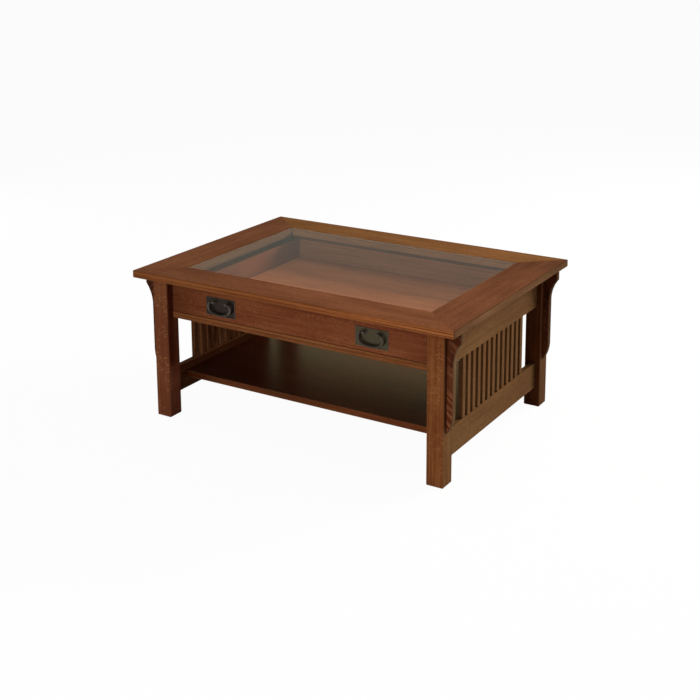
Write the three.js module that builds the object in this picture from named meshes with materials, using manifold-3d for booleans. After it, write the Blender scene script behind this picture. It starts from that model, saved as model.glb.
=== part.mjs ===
// Display table with a glass top, a wide drawer, slatted ends and a shelf.
// Millimetres, +Z up, drawer front towards -Y, origin on the floor under the middle of the table.

import * as THREE from 'three';
import { ConvexGeometry } from 'three/addons/geometries/ConvexGeometry.js';
import { mergeVertices } from 'three/addons/utils/BufferGeometryUtils.js';
import Module from 'manifold-3d';

const wasm = await Module();
wasm.setup();

// Overall sizes
const tableLength = 1067;
const tableDepth = 762;
const tableHeight = 457;

// Clearances
const glueGap = 0.25;
const cutOverrun = 2;

// Top frame and glass
const topThickness = 22;
const endBoardWidth = 122;
const longBoardWidth = 109;
const topEase = 2;
const glassThickness = 6;
const glassSetDown = 0.6;
const glassEdgeGap = 1;
const glassLedge = 11;

// Legs, and how far the top stands out past them
const legWidth = 51;
const legEase = 1.8;
const endOverhang = 46;
const longOverhang = 36;

// Corbels on the outer faces of the legs
const corbelThickness = 20;
const corbelHeight = 285;
const corbelTopReach = 40;
const corbelReach = 17;
const corbelLipHeight = 28;
const corbelScoopHeight = 68;
const corbelToeHeight = 56;
const scoopHandleShares = { out: 0.6, down: 0.26, up: 0.45 };

// Side panels
const sideRailThickness = 19;
const upperRailHeight = 115;
const lowerRailHeight = 80;
const lowerRailBottom = 60;
const railEase = 1.2;
const tenonLength = 20;
const tenonThickness = 9;
const tenonShoulder = 10;
const slatCount = 13;
const slatEndGap = 95.9;
const slatWidth = 17;
const slatThickness = 14;
const slatTenon = 10;
const slatEase = 0.8;

// Shelf
const shelfThickness = 19;
const shelfSetback = 44;
const shelfBottom = 98;
const shelfHousing = 8;
const shelfEase = 1.5;

// Front rail and back apron
const frontSetback = 25;
const frontRailHeight = 19;
const frontRailDepth = 45;
const backSetback = 4;
const backApronThickness = 19;
const backApronHeight = 115;

// Drawer
const drawerFrontHeight = 102;
const drawerFrontThickness = 19;
const drawerFrontGap = 2;
const drawerFrontLift = 1.5;
const drawerFrontTopGap = 2.5;
const drawerWall = 12;
const drawerWallHeight = 80;
const drawerSideInset = 18.5;
const drawerStopGap = 1;
const drawerSlideGap = 0.3;
const drawerBottomThickness = 6;
const drawerBottomLift = 10;
const drawerGroove = 6;
const drawerTongue = 8;
const drawerTongueShoulder = 6;
const drawerFrontEase = 1.2;
const drawerEase = 1;

// Drawer runners and top cleats
const runnerThickness = 9;
const runnerWidth = 48;
const runnerGuideHeight = 22;
const runnerGuideGap = 1.5;
const cleatWidth = 18;
const cleatHeight = 19;

// Pulls
const pullInset = 179.5;
const pullDrop = 10.5;
const plateLength = 104;
const plateHeight = 55;
const plateThickness = 2.4;
const plateRimWidth = 3.5;
const plateFieldDepth = 0.8;
const plateEase = 1;
const postSpacing = 46;
const postRise = 14;
const postRadius = 5.2;
const postLength = 7;
const postDome = 3.4;
const pinRadius = 1.9;
const pinClearance = 0.3;
const pinAxisReach = 6.2;
const studRadius = 2.4;
const studHoleRadius = 2.9;
const nutRadius = 5.4;
const nutThickness = 4;
const studTail = 2;
const bailRadius = 3.5;
const bailPinDepth = 7.5;
const bailShoulderGap = 2;
const bailBow = 9;
const bailSwellShare = 0.4;
const bailDrop = 35.5;
const bailShares = [[0.93, 0.12], [1, 0.347], [0.95, 0.587], [0.778, 0.787], [0.543, 0.92], [0.296, 0.978]];

// Facets of the round pieces
const roundSides = 16;
const nutSides = 6;
const domeSteps = 4;
const bailSteps = 56;
const corbelSteps = 8;
const bailSides = 10;

// Derived places
const topUnderside = tableHeight - topThickness;
const legSpanLength = tableLength - 2 * endOverhang;
const legSpanDepth = tableDepth - 2 * longOverhang;
const legCentreX = (legSpanLength - legWidth) / 2;
const legCentreY = (legSpanDepth - legWidth) / 2;
const legInnerX = legCentreX - legWidth / 2;
const legInnerY = legCentreY - legWidth / 2;
const legHeight = topUnderside - glueGap;
const railInnerX = legCentreX - sideRailThickness / 2;
const upperRailBottom = legHeight - upperRailHeight;
const frontFaceY = -legSpanDepth / 2 + frontSetback;
const drawerFrontTop = topUnderside - drawerFrontTopGap;
const drawerFrontBottom = drawerFrontTop - drawerFrontHeight;
const drawerFrontHalfLength = legInnerX - drawerFrontGap;
const frontRailTop = drawerFrontBottom - drawerFrontLift;
const frontRailBottom = frontRailTop - frontRailHeight;
const backApronRearY = legSpanDepth / 2 - backSetback;
const backApronFrontY = backApronRearY - backApronThickness;
const lowerRailTop = lowerRailBottom + lowerRailHeight;
const slatLength = upperRailBottom - lowerRailTop + 2 * (slatTenon - glueGap);
const slatPitch = (2 * (legInnerY - slatEndGap) - slatWidth) / (slatCount - 1);
const shelfDepth = 2 * (legInnerY - shelfSetback);
const drawerSideX = legInnerX - drawerSideInset;
const drawerBoxBottom = frontRailTop + drawerSlideGap;
const drawerRearY = backApronFrontY - drawerStopGap;
const drawerInnerFrontY = frontFaceY + drawerFrontThickness;
const drawerBottomZ = drawerBoxBottom + drawerBottomLift;
const pullX = drawerFrontHalfLength - pullInset;
const pullZ = (drawerFrontBottom + drawerFrontTop) / 2 - pullDrop;
const bailPinEnd = postSpacing / 2 + postRadius - bailPinDepth;
const bailShoulderX = postSpacing / 2 + postRadius + bailShoulderGap;

// Finishes
const oak = { color: 0x7a4a26, roughness: 0.45, metalness: 0 };
const redOak = { color: 0x6e3220, roughness: 0.45, metalness: 0 };
const drawerWood = { color: 0x9a6238, roughness: 0.6, metalness: 0 };
const bronze = { color: 0x4a4636, roughness: 0.5, metalness: 0.8 };
const clearGlass = { color: 0xb8c4bc, roughness: 0.05, metalness: 0, transparent: true, opacity: 0.35 };

// Solids and geometry

function toSolid(geometry) {
  const bare = geometry.clone();
  bare.deleteAttribute('normal');
  bare.deleteAttribute('uv');
  const merged = mergeVertices(bare);
  const vertProperties = new Float32Array(merged.attributes.position.array);
  const triVerts = new Uint32Array(merged.index.array);
  return new wasm.Manifold(new wasm.Mesh({ numProp: 3, vertProperties, triVerts }));
}

function toGeometry(solid) {
  const mesh = solid.getMesh();
  const geometry = new THREE.BufferGeometry();
  geometry.setAttribute('position', new THREE.BufferAttribute(new Float32Array(mesh.vertProperties), 3));
  geometry.setIndex(new THREE.BufferAttribute(new Uint32Array(mesh.triVerts), 1));
  const faceted = geometry.toNonIndexed();
  faceted.computeVertexNormals();
  return faceted;
}

// A box between two corners, given as [x0, x1], [y0, y1], [z0, z1].
function box(xs, ys, zs) {
  const geometry = new THREE.BoxGeometry(xs[1] - xs[0], ys[1] - ys[0], zs[1] - zs[0]);
  geometry.translate((xs[0] + xs[1]) / 2, (ys[0] + ys[1]) / 2, (zs[0] + zs[1]) / 2);
  return geometry;
}

// The same box with every edge planed off by a small flat.
function easedBox(xs, ys, zs, ease) {
  const ends = [xs, ys, zs];
  const points = [];
  for (let full = 0; full < 3; full += 1) {
    for (let corner = 0; corner < 8; corner += 1) {
      const place = [0, 1, 2].map((axis) => {
        const side = (corner >> axis) & 1;
        const inset = axis === full ? 0 : ease;
        return ends[axis][side] + (side ? -inset : inset);
      });
      points.push(new THREE.Vector3(...place));
    }
  }
  return new ConvexGeometry(points);
}

function about(centre, size) {
  return [centre - size / 2, centre + size / 2];
}

function mirrored(range) {
  return [-range[1], -range[0]];
}

function onSide(range, side) {
  return side > 0 ? range : mirrored(range);
}

function wider(range, extra) {
  return [range[0] - extra, range[1] + extra];
}

// A round or many-sided rod along Y between two ends.
function rod(radius, ys, sideCount) {
  const geometry = new THREE.CylinderGeometry(radius, radius, ys[1] - ys[0], sideCount);
  geometry.translate(0, (ys[0] + ys[1]) / 2, 0);
  return geometry;
}

// An outline in the X-Z plane, given thickness along Y about y = 0.
function upright(shape, thickness, curveSegments) {
  const geometry = new THREE.ExtrudeGeometry(shape, { depth: thickness, bevelEnabled: false, curveSegments });
  geometry.rotateX(Math.PI / 2);
  geometry.translate(0, thickness / 2, 0);
  return geometry;
}

const table = new THREE.Group();

function addPiece(parent, name, geometry, finish, x = 0, y = 0, z = 0) {
  const mesh = new THREE.Mesh(geometry, new THREE.MeshStandardMaterial(finish));
  mesh.name = name;
  mesh.position.set(x, y, z);
  parent.add(mesh);
  return mesh;
}

const sides = [
  { name: 'left', sign: -1 },
  { name: 'right', sign: 1 },
];
const ends = [
  { name: 'front', sign: -1 },
  { name: 'back', sign: 1 },
];

// Top frame: one slab with the glass opening and its rebate, cut along the mitres into four boards.

function topSlab() {
  const zs = [-topThickness, 0];
  const openX = tableLength / 2 - endBoardWidth;
  const openY = tableDepth / 2 - longBoardWidth;
  const rebateFloor = -glassSetDown - glassThickness - glueGap;
  const slab = toSolid(easedBox(about(0, tableLength), about(0, tableDepth), zs, topEase));
  const rebate = toSolid(box([-openX, openX], [-openY, openY], [rebateFloor, cutOverrun]));
  const lightX = openX - glassLedge;
  const lightY = openY - glassLedge;
  const light = toSolid(box([-lightX, lightX], [-lightY, lightY], wider(zs, cutOverrun)));
  return slab.subtract(rebate).subtract(light);
}

// The mitre runs from the outer corner through the corner of the glass opening and on past the ledge.
function mitreEnd() {
  const reach = 1 + (2 * glassLedge) / longBoardWidth;
  return [tableLength / 2 - endBoardWidth * reach, tableDepth / 2 - longBoardWidth * reach];
}

function boardPrism(alongX) {
  const outerX = tableLength / 2;
  const outerY = tableDepth / 2;
  const [innerX, innerY] = mitreEnd();
  const shape = new THREE.Shape();
  if (alongX) {
    shape.moveTo(-outerX, -outerY);
    shape.lineTo(outerX, -outerY);
    shape.lineTo(innerX, -innerY);
    shape.lineTo(-innerX, -innerY);
  } else {
    shape.moveTo(outerX, -outerY);
    shape.lineTo(outerX, outerY);
    shape.lineTo(innerX, innerY);
    shape.lineTo(innerX, -innerY);
  }
  shape.closePath();
  const height = topThickness + 2 * cutOverrun;
  const geometry = new THREE.ExtrudeGeometry(shape, { depth: height, bevelEnabled: false });
  geometry.translate(alongX ? 0 : glueGap, alongX ? -glueGap : 0, -topThickness - cutOverrun);
  return toSolid(geometry);
}

const topGroup = new THREE.Group();
topGroup.position.z = tableHeight;
table.add(topGroup);
const slab = topSlab();
const longBoard = slab.intersect(boardPrism(true));
const endBoard = slab.intersect(boardPrism(false));
for (const end of ends) {
  const board = addPiece(topGroup, `top_board_${end.name}`, toGeometry(longBoard), oak);
  board.rotation.z = end.sign > 0 ? Math.PI : 0;
}
for (const side of sides) {
  const board = addPiece(topGroup, `top_board_${side.name}`, toGeometry(endBoard), oak);
  board.rotation.z = side.sign > 0 ? 0 : Math.PI;
}

const glassLength = tableLength - 2 * (endBoardWidth + glassEdgeGap);
const glassDepth = tableDepth - 2 * (longBoardWidth + glassEdgeGap);
const glassZs = [-glassSetDown - glassThickness, -glassSetDown];
addPiece(topGroup, 'glass_panel', box(about(0, glassLength), about(0, glassDepth), glassZs), clearGlass);

// Legs, mortised for the side rails and for the front rail or back apron.
// Each is made about its own centre line, with its foot at z = 0.

function railTenon(bottom, height) {
  return [bottom + tenonShoulder, bottom + height - tenonShoulder];
}

const upperTenonZs = railTenon(upperRailBottom, upperRailHeight);
const lowerTenonZs = railTenon(lowerRailBottom, lowerRailHeight);
const frontTenonZs = about(frontRailBottom + frontRailHeight / 2, tenonThickness);
const frontTenonYs = [frontFaceY + tenonShoulder / 2, -legInnerY - tenonShoulder / 2];
const backTenonZs = railTenon(legHeight - backApronHeight, backApronHeight);
const backTenonYs = about(backApronFrontY + backApronThickness / 2, tenonThickness);

function mortiseRange(sign) {
  const mouth = -sign * (legWidth / 2 + cutOverrun);
  const floor = -sign * (legWidth / 2 - tenonLength - glueGap);
  return [Math.min(mouth, floor), Math.max(mouth, floor)];
}

function leg(side, end) {
  const square = about(0, legWidth);
  let solid = toSolid(easedBox(square, square, [0, legHeight], legEase));
  const cheek = wider(about(0, tenonThickness), glueGap);
  for (const zs of [upperTenonZs, lowerTenonZs]) {
    solid = solid.subtract(toSolid(box(cheek, mortiseRange(end.sign), wider(zs, glueGap))));
  }
  const crossYs = end.sign < 0 ? frontTenonYs : backTenonYs;
  const crossZs = end.sign < 0 ? frontTenonZs : backTenonZs;
  const localYs = wider(crossYs, glueGap).map((y) => y - end.sign * legCentreY);
  return solid.subtract(toSolid(box(mortiseRange(side.sign), localYs, wider(crossZs, glueGap))));
}

for (const end of ends) {
  for (const side of sides) {
    const geometry = toGeometry(leg(side, end));
    const [x, y] = [side.sign * legCentreX, end.sign * legCentreY];
    addPiece(table, `leg_${end.name}_${side.name}`, geometry, oak, x, y);
  }
}

// Corbels. The outline starts at the top against the leg and x is the reach away from the leg.

function corbelGeometry() {
  const lipZ = -corbelLipHeight;
  const scoopZ = lipZ - corbelScoopHeight;
  const toeZ = -corbelHeight + corbelToeHeight;
  const flare = corbelTopReach - corbelReach;
  const toeRadius = (corbelToeHeight ** 2 + corbelReach ** 2) / (2 * corbelReach);
  const toeSweep = Math.asin(corbelToeHeight / toeRadius);
  const shape = new THREE.Shape();
  shape.moveTo(0, 0);
  shape.lineTo(corbelTopReach, 0);
  shape.lineTo(corbelTopReach, lipZ);
  const handleX = corbelTopReach - flare * scoopHandleShares.out;
  const upperHandleZ = lipZ - corbelScoopHeight * scoopHandleShares.down;
  const lowerHandleZ = scoopZ + corbelScoopHeight * scoopHandleShares.up;
  shape.bezierCurveTo(handleX, upperHandleZ, corbelReach, lowerHandleZ, corbelReach, scoopZ);
  shape.lineTo(corbelReach, toeZ);
  shape.absarc(corbelReach - toeRadius, toeZ, toeRadius, 0, -toeSweep, true);
  shape.closePath();
  return upright(shape, corbelThickness, corbelSteps);
}

for (const end of ends) {
  for (const side of sides) {
    const x = side.sign * (legCentreX + legWidth / 2 + glueGap);
    const name = `corbel_${end.name}_${side.name}`;
    const corbel = addPiece(table, name, corbelGeometry(), oak, x, end.sign * legCentreY, legHeight);
    corbel.rotation.z = side.sign > 0 ? 0 : Math.PI;
  }
}

// Side panels: two rails tenoned into the legs, and slats housed in the rails.

const slatYs = Array.from({ length: slatCount }, (_, i) => (i - (slatCount - 1) / 2) * slatPitch);
const railLength = 2 * (legInnerY - glueGap);
const tenonSpan = railLength + 2 * tenonLength;

function sideRail(height) {
  const zs = [0, height];
  const body = toSolid(easedBox(about(0, sideRailThickness), about(0, railLength), zs, railEase));
  const tenonZs = [tenonShoulder, height - tenonShoulder];
  return body.add(toSolid(box(about(0, tenonThickness), about(0, tenonSpan), tenonZs)));
}

function slatPockets(rail, zs) {
  const xs = wider(about(0, slatThickness), glueGap);
  return slatYs.reduce((left, y) => {
    const ys = wider(about(y, slatWidth), glueGap);
    return left.subtract(toSolid(box(xs, ys, zs)));
  }, rail);
}

function upperRail() {
  return slatPockets(sideRail(upperRailHeight), [-cutOverrun, slatTenon]);
}

function lowerRail(side) {
  const pocketZs = [lowerRailHeight - slatTenon, lowerRailHeight + cutOverrun];
  const inner = [-sideRailThickness / 2 - cutOverrun, -sideRailThickness / 2 + shelfHousing];
  const bottom = shelfBottom - lowerRailBottom;
  const housingZs = wider([bottom, bottom + shelfThickness], glueGap);
  const housingYs = wider(about(0, shelfDepth), glueGap);
  const housing = toSolid(box(onSide(inner, side.sign), housingYs, housingZs));
  return slatPockets(sideRail(lowerRailHeight), pocketZs).subtract(housing);
}

for (const side of sides) {
  const x = side.sign * legCentreX;
  addPiece(table, `side_rail_upper_${side.name}`, toGeometry(upperRail()), oak, x, 0, upperRailBottom);
  addPiece(table, `side_rail_lower_${side.name}`, toGeometry(lowerRail(side)), oak, x, 0, lowerRailBottom);
  slatYs.forEach((y, i) => {
    const geometry = easedBox(about(0, slatThickness), about(0, slatWidth), [0, slatLength], slatEase);
    const z = lowerRailTop - slatTenon + glueGap;
    addPiece(table, `slat_${side.name}_${String(i + 1).padStart(2, '0')}`, geometry, oak, x, y, z);
  });
}

// Shelf, housed in the lower side rails.

const shelfHalfLength = railInnerX + shelfHousing - glueGap;
const shelfXs = [-shelfHalfLength, shelfHalfLength];
const shelfGeometry = easedBox(shelfXs, about(0, shelfDepth), [0, shelfThickness], shelfEase);
addPiece(table, 'shelf', shelfGeometry, oak, 0, 0, shelfBottom);

// Front rail under the drawer, and the back apron.

const crossLength = 2 * (legInnerX - glueGap);
const crossTenonSpan = crossLength + 2 * tenonLength;

function frontRail() {
  const ys = [frontFaceY, frontFaceY + frontRailDepth];
  const zs = [frontRailBottom, frontRailTop];
  const body = toSolid(easedBox(about(0, crossLength), ys, zs, railEase));
  return body.add(toSolid(box(about(0, crossTenonSpan), frontTenonYs, frontTenonZs)));
}

function backApron() {
  const zs = [legHeight - backApronHeight, legHeight];
  const body = toSolid(easedBox(about(0, crossLength), [backApronFrontY, backApronRearY], zs, railEase));
  return body.add(toSolid(box(about(0, crossTenonSpan), backTenonYs, backTenonZs)));
}

addPiece(table, 'front_rail', toGeometry(frontRail()), oak);
addPiece(table, 'back_apron', toGeometry(backApron()), oak);

// Drawer runners, an L of a ledge and a guide, and cleats under the top frame.

function runnerGeometry(side) {
  const outer = side.sign * (railInnerX - glueGap);
  const guide = side.sign * (drawerSideX + runnerGuideGap);
  const inner = side.sign * (railInnerX - glueGap - runnerWidth);
  const shape = new THREE.Shape();
  shape.moveTo(inner, frontRailTop - runnerThickness);
  shape.lineTo(outer, frontRailTop - runnerThickness);
  shape.lineTo(outer, frontRailTop + runnerGuideHeight);
  shape.lineTo(guide, frontRailTop + runnerGuideHeight);
  shape.lineTo(guide, frontRailTop);
  shape.lineTo(inner, frontRailTop);
  shape.closePath();
  const front = frontFaceY + frontRailDepth + glueGap;
  const back = legInnerY - glueGap;
  const geometry = upright(shape, back - front);
  geometry.translate(0, (front + back) / 2, 0);
  return geometry;
}

const cleatXs = [railInnerX - glueGap - cleatWidth, railInnerX - glueGap];
const cleatZs = [legHeight - cleatHeight, legHeight];
for (const side of sides) {
  addPiece(table, `drawer_runner_${side.name}`, runnerGeometry(side), drawerWood);
  const cleat = easedBox(onSide(cleatXs, side.sign), about(0, railLength), cleatZs, railEase);
  addPiece(table, `top_cleat_${side.name}`, cleat, drawerWood);
}

// Drawer: the front takes the ends of the sides and the bottom in grooves, the back sits in rebates
// at the rear of the sides, and the bottom slides in below it.

const drawerGroup = new THREE.Group();
table.add(drawerGroup);
const wallInnerX = drawerSideX - drawerWall;
const wallZs = [drawerBoxBottom, drawerBoxBottom + drawerWallHeight];
const tongueZs = [wallZs[0] + drawerBottomLift, wallZs[1] - drawerTongueShoulder];
const bottomZs = [drawerBottomZ, drawerBottomZ + drawerBottomThickness];
const grooveZs = wider(bottomZs, glueGap);
const grooveReachX = wallInnerX + drawerGroove;
const postXs = [-postSpacing / 2, postSpacing / 2];

function drawerFront() {
  const xs = [-drawerFrontHalfLength, drawerFrontHalfLength];
  const ys = [frontFaceY, drawerInnerFrontY];
  let front = toSolid(easedBox(xs, ys, [drawerFrontBottom, drawerFrontTop], drawerFrontEase));
  const housingYs = [drawerInnerFrontY - drawerTongue - glueGap, drawerInnerFrontY + cutOverrun];
  for (const side of sides) {
    const housingXs = wider(onSide([wallInnerX, drawerSideX], side.sign), glueGap);
    front = front.subtract(toSolid(box(housingXs, housingYs, wider(tongueZs, glueGap))));
  }
  const grooveYs = [drawerInnerFrontY - drawerGroove, drawerInnerFrontY + cutOverrun];
  front = front.subtract(toSolid(box([-grooveReachX, grooveReachX], grooveYs, grooveZs)));
  for (const side of sides) {
    for (const postX of postXs) {
      const hole = rod(studHoleRadius, wider(ys, cutOverrun), roundSides);
      hole.translate(side.sign * pullX + postX, 0, pullZ + postRise);
      front = front.subtract(toSolid(hole));
    }
  }
  return front;
}

function drawerSide(side) {
  const xs = onSide([wallInnerX, drawerSideX], side.sign);
  const body = toSolid(easedBox(xs, [drawerInnerFrontY + glueGap, drawerRearY], wallZs, drawerEase));
  const tongueYs = [drawerInnerFrontY - drawerTongue, drawerInnerFrontY + drawerWall];
  const tongue = toSolid(box(xs, tongueYs, tongueZs));
  const cutXs = onSide([wallInnerX - cutOverrun, grooveReachX], side.sign);
  const lengthYs = [drawerInnerFrontY - drawerTongue - cutOverrun, drawerRearY + cutOverrun];
  const groove = toSolid(box(cutXs, lengthYs, grooveZs));
  const rebateYs = [drawerRearY - drawerWall - glueGap, drawerRearY + cutOverrun];
  const rebate = toSolid(box(cutXs, rebateYs, [grooveZs[0], wallZs[1] + cutOverrun]));
  return body.add(tongue).subtract(groove).subtract(rebate);
}

addPiece(drawerGroup, 'drawer_front', toGeometry(drawerFront()), redOak);
for (const side of sides) {
  addPiece(drawerGroup, `drawer_side_${side.name}`, toGeometry(drawerSide(side)), drawerWood);
}
const backHalfLength = grooveReachX - glueGap;
const backXs = [-backHalfLength, backHalfLength];
const backZs = [bottomZs[1] + glueGap, wallZs[1]];
const backGeometry = easedBox(backXs, [drawerRearY - drawerWall, drawerRearY], backZs, drawerEase);
addPiece(drawerGroup, 'drawer_back', backGeometry, drawerWood);
const bottomYs = [drawerInnerFrontY - drawerGroove + glueGap, drawerRearY];
addPiece(drawerGroup, 'drawer_bottom', box(backXs, bottomYs, bottomZs), drawerWood);

// Pulls. Each is made about the middle of its plate, with the drawer front at y = 0 and outwards
// towards -Y. The posts carry studs that run through the drawer front to hexagon nuts.

const plateYs = [-glueGap - plateThickness, -glueGap];
const pinAxisY = plateYs[0] - pinAxisReach;
const nutFrontY = drawerFrontThickness + glueGap;
const nutRearY = nutFrontY + nutThickness;

function post() {
  const shoulder = plateThickness + postLength;
  const profile = [new THREE.Vector2(0, 0), new THREE.Vector2(postRadius, 0)];
  for (let i = 0; i <= domeSteps; i += 1) {
    const angle = (i / domeSteps) * (Math.PI / 2);
    const radius = i === domeSteps ? 0 : postRadius * Math.cos(angle);
    profile.push(new THREE.Vector2(radius, shoulder + postDome * Math.sin(angle)));
  }
  const geometry = new THREE.LatheGeometry(profile, roundSides);
  geometry.rotateX(Math.PI);
  geometry.translate(0, plateYs[1], 0);
  return geometry;
}

function pullPlate() {
  const field = [plateLength - 2 * plateRimWidth, plateHeight - 2 * plateRimWidth];
  const fieldYs = [plateYs[0] - cutOverrun, plateYs[0] + plateFieldDepth];
  const plate = toSolid(easedBox(about(0, plateLength), plateYs, about(0, plateHeight), plateEase));
  const recess = toSolid(box(about(0, field[0]), fieldYs, about(0, field[1])));
  return postXs.reduce((solid, x) => {
    const stud = rod(studRadius, [plateYs[0], nutRearY + studTail], roundSides);
    const nut = rod(nutRadius, [nutFrontY, nutRearY], nutSides);
    const fixed = [post(), stud, nut].map((geometry) => toSolid(geometry.translate(x, 0, postRise)));
    const outward = Math.sign(x);
    const bore = rod(pinRadius + pinClearance, [bailPinEnd - pinClearance, bailShoulderX], roundSides);
    bore.rotateZ((-outward * Math.PI) / 2);
    const hole = toSolid(bore.translate(0, pinAxisY, postRise));
    return fixed.reduce((whole, piece) => whole.add(piece), solid).subtract(hole);
  }, plate.subtract(recess));
}

function bailCurve() {
  const half = [
    [bailPinEnd, 0],
    [postSpacing / 2 + postRadius + pinClearance, 0],
    [bailShoulderX, 0],
    ...bailShares.map(([across, down]) => [across * (bailShoulderX + bailBow), -down * bailDrop]),
  ];
  const right = half.map(([x, z]) => new THREE.Vector3(x, 0, z));
  const left = half.map(([x, z]) => new THREE.Vector3(-x, 0, z)).reverse();
  return new THREE.CatmullRomCurve3([...right, new THREE.Vector3(0, 0, -bailDrop), ...left]);
}

// A round bar along a curve in the X-Z plane, thin at its two pins and soon at its full thickness.
function bail() {
  const curve = bailCurve();
  const length = curve.getLength();
  const pinLength = postSpacing / 2 + postRadius + pinClearance - bailPinEnd;
  const taperLength = bailSwellShare * (length / 2 - pinLength);
  const positions = [];
  const index = [];
  for (let i = 0; i <= bailSteps; i += 1) {
    const along = i / bailSteps;
    const fromEnd = Math.min(along, 1 - along) * length - pinLength;
    const swell = Math.sin((Math.PI / 2) * THREE.MathUtils.clamp(fromEnd / taperLength, 0, 1));
    const radius = pinRadius + (bailRadius - pinRadius) * swell;
    const centre = curve.getPointAt(along);
    const tangent = curve.getTangentAt(along);
    const across = new THREE.Vector3(0, 1, 0).cross(tangent).normalize();
    for (let k = 0; k < bailSides; k += 1) {
      const angle = (k / bailSides) * 2 * Math.PI;
      const point = centre.clone().addScaledVector(across, radius * Math.cos(angle));
      positions.push(point.x, point.y + radius * Math.sin(angle), point.z);
    }
  }
  for (let i = 0; i < bailSteps; i += 1) {
    for (let k = 0; k < bailSides; k += 1) {
      const next = (k + 1) % bailSides;
      const [a, b] = [i * bailSides + k, i * bailSides + next];
      index.push(a, b, a + bailSides, b, b + bailSides, a + bailSides);
    }
  }
  const last = bailSteps * bailSides;
  for (let k = 1; k < bailSides - 1; k += 1) {
    index.push(0, k + 1, k, last, last + k, last + k + 1);
  }
  const geometry = new THREE.BufferGeometry();
  geometry.setAttribute('position', new THREE.Float32BufferAttribute(positions, 3));
  geometry.setIndex(index);
  const faceted = geometry.toNonIndexed();
  faceted.computeVertexNormals();
  return faceted;
}

for (const side of sides) {
  const pull = new THREE.Group();
  pull.position.set(side.sign * pullX, frontFaceY, pullZ);
  drawerGroup.add(pull);
  addPiece(pull, `pull_plate_${side.name}`, toGeometry(pullPlate()), bronze);
  addPiece(pull, `pull_bail_${side.name}`, bail(), bronze, 0, pinAxisY, postRise);
}

export default table;
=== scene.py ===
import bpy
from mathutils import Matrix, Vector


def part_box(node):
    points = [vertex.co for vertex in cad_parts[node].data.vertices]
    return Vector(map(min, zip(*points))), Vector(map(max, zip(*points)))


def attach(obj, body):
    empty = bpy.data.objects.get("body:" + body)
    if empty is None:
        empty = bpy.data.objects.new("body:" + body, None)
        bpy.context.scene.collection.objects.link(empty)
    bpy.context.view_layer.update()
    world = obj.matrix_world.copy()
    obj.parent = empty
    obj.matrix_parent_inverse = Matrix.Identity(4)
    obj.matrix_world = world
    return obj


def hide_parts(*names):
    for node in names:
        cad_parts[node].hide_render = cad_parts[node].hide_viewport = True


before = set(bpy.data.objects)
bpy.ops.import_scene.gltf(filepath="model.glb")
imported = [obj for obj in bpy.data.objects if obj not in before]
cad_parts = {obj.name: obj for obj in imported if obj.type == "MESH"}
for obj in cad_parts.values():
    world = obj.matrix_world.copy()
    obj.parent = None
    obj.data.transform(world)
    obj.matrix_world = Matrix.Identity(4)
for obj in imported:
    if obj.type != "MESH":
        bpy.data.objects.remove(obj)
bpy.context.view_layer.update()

import math
import bmesh
import bpy
from mathutils import Vector, noise
from mathutils.geometry import interpolate_bezier

# Display table with a glass top, a wide drawer, slatted ends and a shelf.
# Metres, +Z up, drawer front towards -Y.
scene = bpy.context.scene
mm = 0.001
sideSign = {"left": -1, "right": 1}
black = (0.0, 0.0, 0.0)
noiseMiddle = 0.5  # of a noise's range


def stain(code):
    # a colour written as on a swatch card, such as 7a4a2c, in the linear values that shaders take
    parts = [int(code[i:i + 2], 16) / 255 for i in (0, 2, 4)]
    return tuple(p / 12.92 if p <= 0.04045 else ((p + 0.055) / 1.055) ** 2.4 for p in parts)


# Shader wiring

def join(tree, socket, value):
    if isinstance(value, Wire):
        tree.links.new(value.socket, socket)
    elif socket.type == "RGBA" and len(value) == 3:
        socket.default_value = (*value, 1.0)
    else:
        socket.default_value = value


class Wire:
    def __init__(self, tree, socket):
        self.tree = tree
        self.socket = socket

    def maths(self, operation, first, second=0.0):
        made = self.tree.nodes.new("ShaderNodeMath")
        made.operation = operation
        join(self.tree, made.inputs[0], first)
        join(self.tree, made.inputs[1], second)
        return Wire(self.tree, made.outputs[0])

    def also(self, name):  # another output of the same node
        return Wire(self.tree, self.socket.node.outputs[name])

    def __add__(self, other):
        return self.maths("ADD", self, other)

    def __radd__(self, other):
        return self.maths("ADD", other, self)

    def __sub__(self, other):
        return self.maths("SUBTRACT", self, other)

    def __rsub__(self, other):
        return self.maths("SUBTRACT", other, self)

    def __mul__(self, other):
        return self.maths("MULTIPLY", self, other)

    def __rmul__(self, other):
        return self.maths("MULTIPLY", other, self)

    def least(self, other):
        return self.maths("MINIMUM", self, other)

    def most(self, other):
        return self.maths("MAXIMUM", self, other)


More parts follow.
